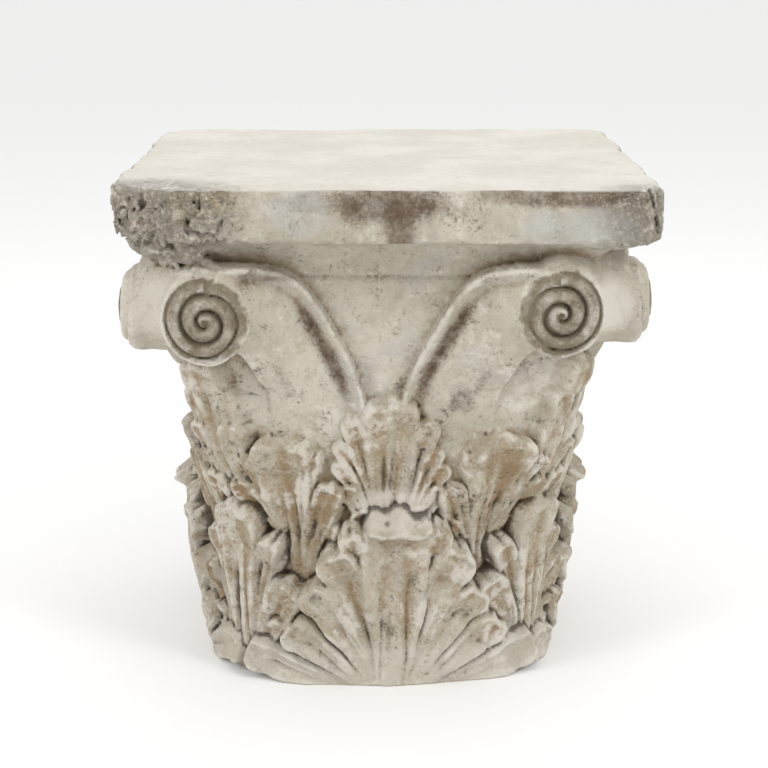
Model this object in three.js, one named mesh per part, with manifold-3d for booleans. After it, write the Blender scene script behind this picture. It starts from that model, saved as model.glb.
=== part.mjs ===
// A Corinthian capital cast in stone, stood on the floor as a pedestal or side table.
// Millimetres, +Z up, front towards -Y, the origin in the middle of the flat underside.
// Slab, volutes, stems, leaves and bell are one casting, so the whole object is one closed solid.
import * as THREE from "three";
import { mergeVertices } from "three/addons/utils/BufferGeometryUtils.js";
import Module from "manifold-3d";

// The square slab on top, and what time has broken off its corners along x and y, from the front left
// corner counterclockwise as seen from above.
const HEIGHT = 500;
const SLAB_SIDE = 500;
const SLAB_THICKNESS = 50;
const SLAB_ROUND = 7;
const CORNER_LOSS = [
  [56, 46],
  [14, 24],
  [16, 20],
  [20, 24],
];

// The hollow moulding under the slab, and how far its top keeps back from the slab's face.
const HOLLOW_HEIGHT = 37;
const HOLLOW_INSET = 14;

// The bell that carries the leaves: round at the foot, almost square at the top. It gets square between
// two shares of its height.
const BELL_FOOT_RADIUS = 173;
const BELL_TOP_RADIUS = 203;
const BELL_FLARE = 2.2;
const FOOT_SQUARENESS = 2.3;
const TOP_SQUARENESS = 8;
const SLAB_SQUARENESS = 20;
const SQUARE_FROM = 0.36;
const SQUARE_TO = 0.82;

// Each corner volute is a roll bent round the corner, with a domed spiral face at both ends.
const VOLUTE_RADIUS = 41;
const VOLUTE_GAP = 23;
const VOLUTE_INSET = 18;
const VOLUTE_FROM_CORNER = 85;
const VOLUTE_DOME = 12;
const VOLUTE_WAIST = 0.1;
const SPIRAL_TURNS = 2.25;
const SPIRAL_EYE = 0.12;
const SPIRAL_DEPTH = 5;
const SPIRAL_LIP = 3;

// Two stems on each face rise from the middle and roll over into the volutes. Each edge starts on the
// bell as [aside, up, out], aside as a share of the volute's place, up the bell as a share of its height,
// and out of it in millimetres. It goes on as [aside, out, up], out as a share of the way from the bell
// to the volute's face and up as a share of the volute's height.
const STEM_RIM = 9;
const STEM_GROOVE = 5;
const STEM_BELLY = 6;
const STEM_EDGES = {
  upper: {
    bell: [
      [0.04, 0.48, 2],
      [0.1, 0.72, 4],
    ],
    volute: [
      [0.28, 0.08, 0.27],
      [0.48, 0.5, 0.84],
      [0.7, 0.9, 1],
      [0.95, 0.9, 0.99],
    ],
  },
  lower: {
    bell: [
      [0.6, 0.48, 0],
      [0.66, 0.7, 1],
    ],
    volute: [
      [0.72, 0.1, -0.37],
      [0.79, 0.45, -0.1],
      [0.88, 0.8, 0.07],
      [1, 0.86, 0.11],
    ],
  },
};

// How deep the carving is rooted in the bell, so that nothing floats, and how deep a leaf's middle lobe
// is scooped.
const ROOTED = 6;
const SCOOP = 6;

// Along a lobe: the share of its way, of its rise and of the room to its clefts, and how far the cleft
// beside it is filled.
const LOBE_STATIONS = [
  { way: 0, high: 0, wide: 0.5, cleft: 0 },
  { way: 0.62, high: 0.85, wide: 0.74, cleft: 0.6 },
  { way: 0.9, high: 1, wide: 0.8, cleft: 0.2 },
  { way: 1, high: 0.7, wide: 0.4, cleft: 0 },
];

const bellHeight = HEIGHT - SLAB_THICKNESS - HOLLOW_HEIGHT;
const slabUnderside = HEIGHT - SLAB_THICKNESS;
const halfSlab = SLAB_SIDE / 2;
const voluteFace = halfSlab - VOLUTE_INSET;
const voluteSide = halfSlab - VOLUTE_FROM_CORNER;
const voluteZ = slabUnderside - VOLUTE_GAP - VOLUTE_RADIUS;
const carvingRadius = (BELL_FOOT_RADIUS + BELL_TOP_RADIUS) / 2;

// The leaves. Heights, places, widths and rises are shares of the bell's height. A leaf has a middle
// lobe from foot to tip, as wide as its stalk at the foot, and side lobes from the top one down:
// [sideways, up, half width] of each end.
const FACE_LEAF = {
  foot: -0.02,
  tip: 0.425,
  stalk: 0.03,
  halfWidth: 0.062,
  rise: { tip: 0.098, lobe: 0.075 },
  lobes: [
    [0.105, 0.415, 0.042],
    [0.17, 0.34, 0.044],
    [0.23, 0.225, 0.042],
    [0.34, 0.09, 0.064],
  ],
};
const CORNER_LEAF = {
  foot: 0.03,
  tip: 0.45,
  stalk: 0.022,
  halfWidth: 0.058,
  rise: { tip: 0.08, lobe: 0.068 },
  lobes: [
    [0.098, 0.355, 0.036],
    [0.132, 0.262, 0.048],
  ],
};
const MIDDLE_LEAF = {
  foot: 0.24,
  tip: 0.62,
  stalk: 0.018,
  halfWidth: 0.06,
  rise: { tip: 0.06, lobe: 0.05 },
  lobes: [[0.108, 0.512, 0.036]],
};
const UPPER_FACE_LEAF = {
  foot: 0.36,
  tip: 0.705,
  stalk: 0.03,
  halfWidth: 0.092,
  rise: { tip: 0.044, lobe: 0.034 },
  lobes: [
    [0.13, 0.615, 0.034],
    [0.122, 0.53, 0.034],
  ],
};
const UPPER_CORNER_LEAF = {
  foot: 0.4,
  tip: 0.8,
  stalk: 0.03,
  halfWidth: 0.065,
  rise: { tip: 0.052, lobe: 0.042 },
  lobes: [
    [0.085, 0.69, 0.036],
    [0.095, 0.57, 0.036],
  ],
};
const MIDDLE_LEAF_TURN = THREE.MathUtils.degToRad(29);

const wasm = await Module();
wasm.setup();

const { lerp, smoothstep } = THREE.MathUtils;

// A solid from a closed geometry.
function solid(geometry) {
  const bare = geometry.clone();
  bare.deleteAttribute("normal");
  bare.deleteAttribute("uv");
  const merged = mergeVertices(bare, 1e-4);
  return new wasm.Manifold(
    new wasm.Mesh({
      numProp: 3,
      vertProperties: new Float32Array(merged.attributes.position.array),
      triVerts: new Uint32Array(merged.index.array),
    }),
  );
}

// A solid from points and the faces over them, turned so that its faces point out.
function closed(points, faces) {
  const volume = faces.reduce((sum, [a, b, c]) => {
    return sum + points[a].dot(new THREE.Vector3().crossVectors(points[b], points[c]));
  }, 0);
  const outward = volume > 0 ? faces : faces.map(([a, b, c]) => [a, c, b]);
  const geometry = new THREE.BufferGeometry();
  const places = points.flatMap((point) => point.toArray());
  geometry.setAttribute("position", new THREE.Float32BufferAttribute(places, 3));
  geometry.setIndex(outward.flat());
  return solid(geometry);
}

// The faces between two rows of point numbers that run side by side.
function strip(rowA, rowB) {
  const faces = [];
  for (let i = 0; i + 1 < rowA.length; i++) {
    faces.push([rowA[i], rowA[i + 1], rowB[i + 1]], [rowA[i], rowB[i + 1], rowB[i]]);
  }
  return faces.filter(([a, b, c]) => a !== b && b !== c && c !== a);
}

// A closed skin over rings of points that all have the same count, with a fan over each end.
function loft(rings) {
  const count = rings[0].length;
  const points = rings.flat();
  const ring = (r) => Array.from({ length: count + 1 }, (_, i) => r * count + (i % count));
  const faces = [];
  for (let r = 0; r + 1 < rings.length; r++) faces.push(...strip(ring(r), ring(r + 1)));
  for (const end of [0, rings.length - 1]) {
    const middle = new THREE.Vector3();
    for (const point of rings[end]) middle.addScaledVector(point, 1 / count);
    points.push(middle);
    const hub = Array(count + 1).fill(points.length - 1);
    faces.push(...(end === 0 ? strip(hub, ring(0)) : strip(ring(end), hub)));
  }
  return closed(points, faces);
}

// A solid between a grid of points and a second grid under it.
function between(top, under) {
  const rows = top.length;
  const columns = top[0].length;
  const points = [...top.flat(), ...under.flat()];
  const row = (r, layer) => Array.from({ length: columns }, (_, c) => (layer * rows + r) * columns + c);
  const column = (c, layer) => Array.from({ length: rows }, (_, r) => (layer * rows + r) * columns + c);
  const faces = [];
  for (let r = 0; r + 1 < rows; r++) {
    faces.push(...strip(row(r, 0), row(r + 1, 0)), ...strip(row(r + 1, 1), row(r, 1)));
  }
  faces.push(...strip(row(0, 1), row(0, 0)), ...strip(row(rows - 1, 0), row(rows - 1, 1)));
  faces.push(...strip(column(0, 0), column(0, 1)));
  faces.push(...strip(column(columns - 1, 1), column(columns - 1, 0)));
  return closed(points, faces);
}

// The bell's outline is a rounded square that gets squarer with height.
function bellHalfWidth(z) {
  const share = Math.max(z, 0) / bellHeight;
  return lerp(BELL_FOOT_RADIUS, BELL_TOP_RADIUS, Math.min(share, 1) ** BELL_FLARE);
}

function bellSquareness(z) {
  return lerp(FOOT_SQUARENESS, TOP_SQUARENESS, smoothstep(z / bellHeight, SQUARE_FROM, SQUARE_TO));
}

function roundedSquareRadius(turn, halfWidth, squareness) {
  const across = Math.abs(Math.sin(turn)) ** squareness;
  const along = Math.abs(Math.cos(turn)) ** squareness;
  return halfWidth / (across + along) ** (1 / squareness);
}

// A point at a turn from the front, a radius and a height.
function polar(turn, radius, z) {
  return new THREE.Vector3(radius * Math.sin(turn), -radius * Math.cos(turn), z);
}

// A point off a face of the square: u to the right along it, v out from the axis, z up.
function onFace(face, u, v, z) {
  return new THREE.Vector3(u, -v, z).applyAxisAngle(new THREE.Vector3(0, 0, 1), (face * Math.PI) / 2);
}

function bell() {
  const octant = [0, 20, 36];
  const turns = [0, 90, 180, 270].flatMap((quarter) => {
    const back = octant.slice(1).toReversed();
    const degrees = [...octant, 45, ...back.map((angle) => 90 - angle)];
    return degrees.map((angle) => THREE.MathUtils.degToRad(quarter + angle));
  });
  const levels = [0, 0.3, 0.58, 0.8, 1].map((share) => {
    const z = share * bellHeight;
    return [z, bellHalfWidth(z), bellSquareness(z)];
  });
  const hollowTop = halfSlab - HOLLOW_INSET;
  for (const share of [0.5, 1]) {
    const bend = (share * Math.PI) / 2;
    levels.push([
      bellHeight + HOLLOW_HEIGHT * Math.sin(bend),
      lerp(BELL_TOP_RADIUS, hollowTop, 1 - Math.cos(bend)),
      lerp(TOP_SQUARENESS, SLAB_SQUARENESS, share),
    ]);
  }
  // The last level goes up into the slab.
  levels.push([slabUnderside + SLAB_THICKNESS / 2, hollowTop, SLAB_SQUARENESS]);
  return loft(
    levels.map(([z, halfWidth, squareness]) =>
      turns.map((turn) => polar(turn, roundedSquareRadius(turn, halfWidth, squareness), z)),
    ),
  );
}

function slab() {
  const reach = halfSlab - SLAB_ROUND;
  const outline = new THREE.Shape();
  const corners = [
    [-1, -1],
    [1, -1],
    [1, 1],
    [-1, 1],
  ];
  const points = corners.flatMap(([x, y], i) => {
    const [alongX, alongY] = CORNER_LOSS[i];
    const onX = [x * (reach - alongX), y * reach];
    const onY = [x * reach, y * (reach - alongY)];
    return x * y > 0 ? [onY, onX] : [onX, onY];
  });
  outline.setFromPoints(points.map(([x, y]) => new THREE.Vector2(x, y)));
  const geometry = new THREE.ExtrudeGeometry(outline, {
    depth: SLAB_THICKNESS - 2 * SLAB_ROUND,
    bevelThickness: SLAB_ROUND,
    bevelSize: SLAB_ROUND,
    bevelSegments: 2,
  });
  return solid(geometry.translate(0, 0, slabUnderside + SLAB_ROUND));
}

// A roll whose axis is a quarter circle about a point near the corner. Each end is a domed face cut by a
// spiral step, which starts at the rim over the top and goes outward, down and in to the eye.
function volute(face) {
  const sides = 12;
  const steps = SPIRAL_TURNS * sides;
  const bend = voluteFace - voluteSide;
  const points = [];
  const faces = [];
  const add = (point) => points.push(point) - 1;

  const rings = [0, 18, 45, 72, 90].map((degrees) => {
    const turn = THREE.MathUtils.degToRad(degrees);
    const radius = VOLUTE_RADIUS * (1 - VOLUTE_WAIST * Math.sin(2 * turn));
    const ring = Array.from({ length: sides }, (_, i) => {
      const around = (i * 2 * Math.PI) / sides;
      const from = bend - radius * Math.sin(around);
      const u = voluteFace - from * Math.cos(turn);
      const v = voluteFace - from * Math.sin(turn);
      return add(onFace(face, u, v, voluteZ + radius * Math.cos(around)));
    });
    return [...ring, ring[0]];
  });
  for (let r = 0; r + 1 < rings.length; r++) faces.push(...strip(rings[r], rings[r + 1]));

  // A place on an end face: its turn from the top, its distance from the middle, how far it stands out.
  const onEnd = (far, turn, radius, out) => {
    const aside = voluteSide + radius * Math.sin(turn);
    const z = voluteZ + radius * Math.cos(turn);
    return add(onFace(face, far ? voluteFace + out : aside, far ? aside : voluteFace + out, z));
  };
  for (const far of [false, true]) {
    const rim = far ? rings.at(-1) : rings[0];
    const crest = [rim[0]];
    const cleft = [rim[0]];
    for (let i = 1; i <= steps; i++) {
      const share = i / steps;
      const turn = (i * 2 * Math.PI) / sides;
      const radius = VOLUTE_RADIUS * lerp(1, SPIRAL_EYE, share);
      const domed = VOLUTE_DOME * (1 - (radius / VOLUTE_RADIUS) ** 2);
      const depth = SPIRAL_DEPTH * Math.sin(Math.PI * share) ** 0.3;
      const lip = Math.min(SPIRAL_LIP, radius / 3);
      crest.push(onEnd(far, turn, radius, Math.min(domed + depth / 2, VOLUTE_DOME)));
      cleft.push(i < steps ? onEnd(far, turn, radius - lip, domed - depth / 2) : crest.at(-1));
    }
    const eye = onEnd(far, 0, 0, VOLUTE_DOME);
    const end = [
      ...strip(rim, crest.slice(0, sides + 1)),
      ...strip(crest, cleft),
      ...strip(cleft.slice(0, steps - sides + 1), crest.slice(sides)),
      ...strip(cleft.slice(steps - sides), Array(sides + 1).fill(eye)),
      [crest.at(-1), cleft[steps - sides], eye],
    ];
    faces.push(...(far ? end : end.map(([a, b, c]) => [a, c, b])));
  }
  return closed(points, faces);
}

// A stem: a rim along its upper edge, a groove inside it and a full belly down to its lower edge.
function stem(face, side) {
  const top = voluteZ + VOLUTE_RADIUS;
  const low = voluteZ - VOLUTE_RADIUS;
  const [upper, lower] = [STEM_EDGES.upper, STEM_EDGES.lower].map(({ bell: onBell, volute: onVolute }) => {
    const start = onBell.map(([aside, up, out]) => {
      const z = up * bellHeight;
      return new THREE.Vector3(aside * voluteSide, bellHalfWidth(z) + out, z);
    });
    const end = onVolute.map(([aside, out, up]) => {
      const radius = lerp(BELL_TOP_RADIUS, voluteFace, out);
      return new THREE.Vector3(aside * voluteSide, radius, lerp(low, top, up));
    });
    return new THREE.CatmullRomCurve3([...start, ...end]);
  });
  const steps = 6;
  const inside = bellHalfWidth(0) - ROOTED;
  const sections = Array.from({ length: steps + 1 }, (_, i) => {
    const a = upper.getPoint(i / steps);
    const b = lower.getPoint(i / steps);
    const across = b.clone().sub(a);
    const reach = across.length();
    const at = (distance, out) => {
      const p = a.clone().addScaledVector(across, distance / reach);
      return onFace(face, side * p.x, p.y + out, p.z);
    };
    return [
      onFace(face, side * a.x, inside, a.z),
      at(0, 0),
      at(STEM_RIM, 2),
      at(STEM_RIM * 2, -STEM_GROOVE),
      at(reach * 0.6, STEM_BELLY),
      at(reach, 0),
      onFace(face, side * b.x, inside, b.z),
    ];
  });
  return loft(sections);
}

// A leaf: a fan of lobes that rise out of the bell from the foot and share the clefts between them.
function leaf(kind, leafTurn) {
  const tall = kind.tip - kind.foot;
  const sideLobes = (side) =>
    kind.lobes.map(([out, up, halfWidth]) => {
      const reach = up - kind.foot;
      const low = 1 - reach / tall;
      const line = new THREE.QuadraticBezierCurve(
        new THREE.Vector2(side * (kind.stalk + out * 0.4 * low), kind.foot + reach * 0.1),
        new THREE.Vector2(side * out * lerp(0.5, 0.75, low), kind.foot + reach * lerp(0.66, 0.45, low)),
        new THREE.Vector2(side * out, up),
      );
      return { line, halfWidth, rise: kind.rise.lobe };
    });
  const middle = {
    line: new THREE.LineCurve(new THREE.Vector2(0, kind.foot), new THREE.Vector2(0, kind.tip)),
    halfWidth: kind.halfWidth,
    rise: kind.rise.tip,
  };
  const lobes = [...sideLobes(-1).toReversed(), middle, ...sideLobes(1)];

  // A place on the bell from its place in the leaf, standing out by a rise.
  const place = ({ x, y }, rise) => {
    const z = y * bellHeight;
    const turn = leafTurn + (x * bellHeight) / carvingRadius;
    const radius = roundedSquareRadius(turn, bellHalfWidth(z), bellSquareness(z));
    return polar(turn, radius + rise, z);
  };
  const top = [];
  const under = [];
  for (const { way, high, wide, cleft } of LOBE_STATIONS) {
    const middles = lobes.map(({ line }) => line.getPoint(way));
    // The line between two lobes, or the outer edge of the last one.
    const edge = (i, step) => {
      const { line, halfWidth } = lobes[i];
      const next = lobes[i + step];
      if (next) return middles[i].clone().lerp(middles[i + step], halfWidth / (halfWidth + next.halfWidth));
      const along = line.getTangent(way);
      return middles[i].clone().addScaledVector(new THREE.Vector2(along.y, -along.x), step * halfWidth);
    };
    const spots = [[edge(0, -1), -ROOTED]];
    lobes.forEach((lobe, i) => {
      const rise = high * lobe.rise * bellHeight - ROOTED * (1 - high);
      const rims = [edge(i, -1), edge(i, 1)];
      spots.push([middles[i].clone().lerp(rims[0], wide), rise]);
      if (lobe === middle) spots.push([middles[i], rise - SCOOP * high]);
      spots.push([middles[i].clone().lerp(rims[1], wide), rise]);
      const outermost = i === lobes.length - 1;
      spots.push([rims[1], outermost ? -ROOTED : lerp(-ROOTED, rise, cleft)]);
    });
    top.push(spots.map(([spot, rise]) => place(spot, rise)));
    under.push(spots.map(([spot]) => place(spot, -2 * ROOTED)));
  }
  return between(top, under);
}

// The room under the floor, which nothing of the casting may enter.
function belowFloor() {
  const wide = 2 * SLAB_SIDE;
  return solid(new THREE.BoxGeometry(wide, wide, wide).translate(0, 0, -wide / 2));
}

function capital() {
  const parts = [bell(), slab()];
  for (let face = 0; face < 4; face++) {
    const quarter = (face * Math.PI) / 2;
    parts.push(volute(face));
    for (const side of [-1, 1]) {
      parts.push(stem(face, side));
      parts.push(leaf(MIDDLE_LEAF, quarter + side * MIDDLE_LEAF_TURN));
    }
    parts.push(leaf(FACE_LEAF, quarter));
    parts.push(leaf(UPPER_FACE_LEAF, quarter));
    parts.push(leaf(CORNER_LEAF, quarter + Math.PI / 4));
    parts.push(leaf(UPPER_CORNER_LEAF, quarter + Math.PI / 4));
  }
  const whole = wasm.Manifold.union(parts).subtract(belowFloor());
  const mesh = whole.getMesh();
  const geometry = new THREE.BufferGeometry();
  geometry.setAttribute("position", new THREE.Float32BufferAttribute(mesh.vertProperties, 3));
  geometry.setIndex(Array.from(mesh.triVerts));
  return geometry.toNonIndexed();
}

const stone = new THREE.MeshStandardMaterial({ color: 0xcfc6b8, roughness: 0.92, metalness: 0 });
const casting = new THREE.Mesh(capital(), stone);
casting.geometry.computeVertexNormals();
casting.name = "capital";

const group = new THREE.Group();
group.add(casting);

export default group;
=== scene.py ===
"""A weathered cast stone Corinthian capital, used as a pedestal, carved over its plain solid model.

The whole casting is one mesh. Its skin is worked out in millimetres as a signed distance on a grid: a bell
with its leaves raised on it, eight stems, four corner volutes and the broken top slab. The grid is turned
into a mesh, roughened, thinned and given a stone material."""
import math

import bpy
import numpy as np
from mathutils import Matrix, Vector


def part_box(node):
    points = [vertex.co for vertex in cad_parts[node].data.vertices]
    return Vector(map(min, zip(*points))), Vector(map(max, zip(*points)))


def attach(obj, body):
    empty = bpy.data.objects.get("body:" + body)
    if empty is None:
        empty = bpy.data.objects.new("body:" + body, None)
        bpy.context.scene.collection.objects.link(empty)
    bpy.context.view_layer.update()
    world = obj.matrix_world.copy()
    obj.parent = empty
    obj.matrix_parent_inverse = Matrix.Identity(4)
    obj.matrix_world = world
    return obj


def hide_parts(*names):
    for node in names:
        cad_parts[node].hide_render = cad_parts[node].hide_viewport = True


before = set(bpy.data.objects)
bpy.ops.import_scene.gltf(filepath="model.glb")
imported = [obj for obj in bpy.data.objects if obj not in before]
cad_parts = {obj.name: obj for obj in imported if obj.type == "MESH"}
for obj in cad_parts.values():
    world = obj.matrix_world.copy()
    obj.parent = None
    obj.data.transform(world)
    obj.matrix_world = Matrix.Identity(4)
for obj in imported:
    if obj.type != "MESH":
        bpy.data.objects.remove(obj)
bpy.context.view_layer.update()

import openvdb
from mathutils import Vector

MM = 0.001
low_corner, high_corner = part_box("capital")
HEIGHT = high_corner.z / MM
SLAB_SIDE = (high_corner.x - low_corner.x) / MM

# Sizes of the solid model, in millimetres. Squareness is the power of a rounded square, and the bell gets
# square between two shares of its height. A corner's loss is along x and y.
SLAB_THICKNESS = 50.0
SLAB_ROUND = 7.0
HOLLOW_HEIGHT = 37.0
HOLLOW_INSET = 14.0
BELL_FOOT_RADIUS = 173.0
BELL_TOP_RADIUS = 203.0
BELL_FLARE = 2.2
FOOT_SQUARENESS = 2.3
TOP_SQUARENESS = 8.0
SLAB_SQUARENESS = 20.0
SQUARE_FROM = 0.36
SQUARE_TO = 0.82
VOLUTE_RADIUS = 41.0
VOLUTE_GAP = 23.0
VOLUTE_INSET = 18.0
VOLUTE_FROM_CORNER = 85.0
VOLUTE_WAIST = 0.1
CORNER_LOSS = {(-1, -1): (56, 46), (1, -1): (14, 24), (1, 1): (16, 20), (-1, 1): (20, 24)}

half_slab = SLAB_SIDE / 2
slab_underside = HEIGHT - SLAB_THICKNESS
bell_height = slab_underside - HOLLOW_HEIGHT
volute_face = half_slab - VOLUTE_INSET
volute_side = half_slab - VOLUTE_FROM_CORNER
volute_z = slab_underside - VOLUTE_GAP - VOLUTE_RADIUS
carving_radius = (BELL_FOOT_RADIUS + BELL_TOP_RADIUS) / 2

# How fine the work is: the grid's cell, the skin map's cell and the most triangles.
VOXEL = 1.7
MAP_STEP = 1.0
MOST_TRIANGLES = 194_000

# The field's room round the casting, the furthest distance that it holds, and a distance off everything.
MARGIN = 4 * VOXEL
FIELD_LIMIT = 3 * VOXEL
FAR_OFF = 1e3

# How far the casting's foot is off its middle. Carving that stands out of the bell further than DROOP_FROM
# hangs below the place it was carved at, by a share of the rest.
LEAN = 6.0
DROOP = 0.28
DROOP_FROM = 8.0


def smoothstep(value, start, end):
    share = np.clip((value - start) / (end - start), 0, 1)
    return share * share * (3 - 2 * share)


def bump(value, middle, width):
    return np.exp(-(((value - middle) / width) ** 2))


class Noise:
    """Smooth noise from -1 to 1 on a repeating lattice of random values, in two or three dimensions."""

    def __init__(self, seed, dimensions, size=32):
        self.size = size
        self.lattice = np.random.default_rng(seed).uniform(-1, 1, (size,) * dimensions).astype(np.float32)

    def __call__(self, *place):
        cells = [np.floor(p).astype(np.int64) for p in place]
        shares = [(p - c).astype(np.float32) for p, c in zip(place, cells)]
        shares = [s * s * (3 - 2 * s) for s in shares]
        total = 0
        for corner in np.ndindex((2,) * len(place)):
            weight = 1
            for share, side in zip(shares, corner):
                weight = weight * (share if side else 1 - share)
            index = tuple((c + side) % self.size for c, side in zip(cells, corner))
            total = total + weight * self.lattice[index]
        return total


def layered(noise, place, scale, layers, fade=0.5):
    """Noise summed over ever finer scales. scale is the size of the broadest lumps."""
    total, strength, whole = 0, 1.0, 0.0
    for layer in range(layers):
        step = scale / 2**layer
        shift = 7.31 * layer
        total = total + strength * noise(*[p / step + shift for p in place])
        whole += strength
        strength *= fade
    return total / whole


warp_noise = Noise(11, 2)
groove_noise = Noise(12, 2)
stone_noise = Noise(13, 3)
chip_noise = Noise(14, 3)


def unevenness(place, kinds):
    """The sum of several kinds of soft lumps, each as its height, its breadth and a shift."""
    return sum(high * stone_noise(*[p / broad + shift for p in place]) for high, broad, shift in kinds)


# The fine groove round the top of the bell.
GROOVE_DEPTH = 3.0
GROOVE_WIDTH = 2.4


# The bell's outline, a rounded square that gets squarer with height.
def bell_half_width(z):
    share = np.clip(z / bell_height, 0, 1)
    bell = BELL_FOOT_RADIUS + (BELL_TOP_RADIUS - BELL_FOOT_RADIUS) * share**BELL_FLARE
    rise = np.clip((z - bell_height) / HOLLOW_HEIGHT, 0, 1)
    hollow = 1 - np.sqrt(1 - rise**2)
    groove = GROOVE_DEPTH * bump(z, bell_height, GROOVE_WIDTH)
    return bell + (half_slab - HOLLOW_INSET - BELL_TOP_RADIUS) * hollow - groove


def bell_squareness(z):
    squaring = smoothstep(z / bell_height, SQUARE_FROM, SQUARE_TO)
    square = FOOT_SQUARENESS + (TOP_SQUARENESS - FOOT_SQUARENESS) * squaring
    return square + (SLAB_SQUARENESS - TOP_SQUARENESS) * smoothstep(z, bell_height, slab_underside)


def bell_radius(turn, z):
    power = bell_squareness(z)
    across = np.abs(np.sin(turn)) ** power
    along = np.abs(np.cos(turn)) ** power
    return bell_half_width(z) / (across + along) ** (1 / power)


# The leaves' common foot and the heights between which it ends, how deep the clefts between the lobes are
# and how far round a place they are looked for, and the ochre on bare skin.
COMMON_FOOT_RISE = 10
COMMON_FOOT_END = (4, 24)
CLEFT_DEPTH = 2.2
CLEFT_REACH = 3
BARE_TINT = 0.3


class SkinMap:
    """How far the carving stands out of the bell, on a map unrolled round it and up it, and how much
    ochre lies on it."""

    def __init__(self):
        self.around = round(2 * math.pi * carving_radius / MAP_STEP)
        self.up = round(slab_underside / MAP_STEP) + 1
        self.rise = np.zeros((self.up, self.around), np.float32)
        self.tint = np.full((self.up, self.around), BARE_TINT, np.float32)

    def raise_to(self, sideways, z, rise, tint):
        """Takes the higher of what is there and these samples, which lie sideways from the front."""
        column = np.round(sideways / MAP_STEP).astype(int) % self.around
        row = np.round(z / MAP_STEP).astype(int)
        inside = (row >= 0) & (row < self.up)
        row, column, rise, tint = row[inside], column[inside], rise[inside], tint[inside]
        np.maximum.at(self.rise, (row, column), rise)
        highest = rise >= self.rise[row, column] - 1e-4
        self.tint[row[highest], column[highest]] = tint[highest]

    def finish(self):
        """Joins the lobes at a common foot and cuts the clefts between them."""
        z = MAP_STEP * np.arange(self.up)[:, None]
        self.rise = np.maximum(self.rise, COMMON_FOOT_RISE * (1 - smoothstep(z, *COMMON_FOOT_END)))
        near = soften(self.rise, round(CLEFT_REACH / MAP_STEP) ** 2, "wrap")
        cleft = np.clip((near - self.rise) / CLEFT_DEPTH, 0, 1) * smoothstep(self.rise, -1, 3)
        self.rise = soften(self.rise - CLEFT_DEPTH * cleft, 1, "wrap")
        # The cleft share is also kept as the mask of the painted shade in the clefts.
        self.cleft = soften(cleft, 1, "wrap")
        self.tint = soften(self.tint, 2, "wrap")


def soften(values, passes, sides):
    """Blurs a map. Its left and right sides meet where sides is wrap, and end there where it is edge."""
    for _ in range(passes):
        padded = np.pad(values, ((0, 0), (1, 1)), mode=sides)
        values = (padded[:, :-2] + 2 * padded[:, 1:-1] + padded[:, 2:]) / 4
        padded = np.pad(values, ((1, 1), (0, 0)), mode="edge")
        values = (padded[:-2] + 2 * padded[1:-1] + padded[2:]) / 4
    return values


# The leaves, in millimetres: how high the foot and the tip are, the middle lobe's half width at its stalk
# and its end, how far it stands out at its foot, along its body and at its end, how deep it is scooped,
# how much ochre lies on it, how its end is shaped, and the side lobes from the top one down as (sideways,
# up, half width, rise). Each leaf is set out from its own middle line.
FACE_LEAF = dict(
    foot=-6, tip=184, stalk=16, half_width=35, rises=(9, 29, 41), scoop=5, ochre=0.0,
    end=dict(curl=0.87, square=3.2, ripple=3.5, groove=12.0),
    lobes=[(46, 174, 13, 29), (62, 150, 21, 33), (82, 108, 19, 31), (105, 70, 18, 28), (146, 36, 20, 30)],
)
CORNER_LEAF = dict(
    foot=12, tip=188, stalk=10, half_width=24, rises=(18, 26, 31), scoop=5, ochre=0.1,
    end=dict(curl=0.7, square=2.0, ripple=1.5, groove=6.0),
    lobes=[(38, 152, 13, 27), (55, 110, 20, 27), (48, 64, 17, 24)],
)
MIDDLE_LEAF = dict(
    foot=96, tip=258, stalk=8, half_width=25, rises=(4, 14, 21), scoop=6, ochre=0.25,
    end=dict(curl=0.72, square=2.4, ripple=2.0, groove=6.0),
    lobes=[(27, 242, 9, 16), (45, 212, 14, 18), (36, 172, 12, 13)],
)
UPPER_FACE_LEAF = dict(
    foot=150, tip=294, stalk=11, half_width=29, rises=(8, 13, 16), scoop=6, ochre=0.2,
    end=dict(curl=0.74, square=2.4, ripple=2.5, groove=5.0),
    lobes=[(38, 273, 11, 14), (49, 250, 9, 13), (52, 230, 9, 13), (47, 208, 10, 13), (36, 186, 15, 14)],
)
UPPER_CORNER_LEAF = dict(
    foot=165, tip=335, stalk=10, half_width=17, rises=(8, 11, 19), scoop=3, ochre=0.0,
    end=dict(curl=0.7, square=2.2, ripple=2.0),
    lobes=[(14, 302, 10, 15), (18, 268, 11, 15), (22, 236, 12, 15), (27, 203, 13, 15)],
)
MIDDLE_LEAF_TURN = math.radians(29)
FRONT_LEAF_TURN = math.radians(1.5)
LEAVES_ASIDE = 8.0

# How a side lobe differs by hand: sideways and up in millimetres, and its rise as a share.
SIDEWAYS_BY_HAND = (-2.5, 2.5)
UP_BY_HAND = (-3, 3)
RISE_BY_HAND = (0.95, 1.05)

# A side lobe's widths at its foot and end as shares of its half width, its rise along its body as a share
# of the one at its end, and its scoop and ripple as shares of its half width.
LOBE_WIDTHS = (0.42, 1)
LOBE_BODY = 0.76
LOBE_SCOOP = 0.26
LOBE_RIPPLE = 0.08

# The low web that joins the side lobes, in the same shares, and how much of the way to the tip it goes.
WEB_WIDTHS = (0.7, 1.15)
WEB_FOOT = 0.7
WEB_BODY = 0.5
WEB_REACH = 0.92

# How a lobe's width waves, its flutes, the ripples of its end, the grooves beside its rib, and how far the
# whole lobe wanders over a length.
WIDTH_WAVE = 0.1
FLUTE_DEPTH = 1.3
FLUTES = 7
RIPPLES = 8
RIB_GROOVE_WIDTH = 2.0
RIB_GROOVE_DEPTH = 2.4
WANDER = 1.6
WANDER_LENGTH = 34


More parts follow.
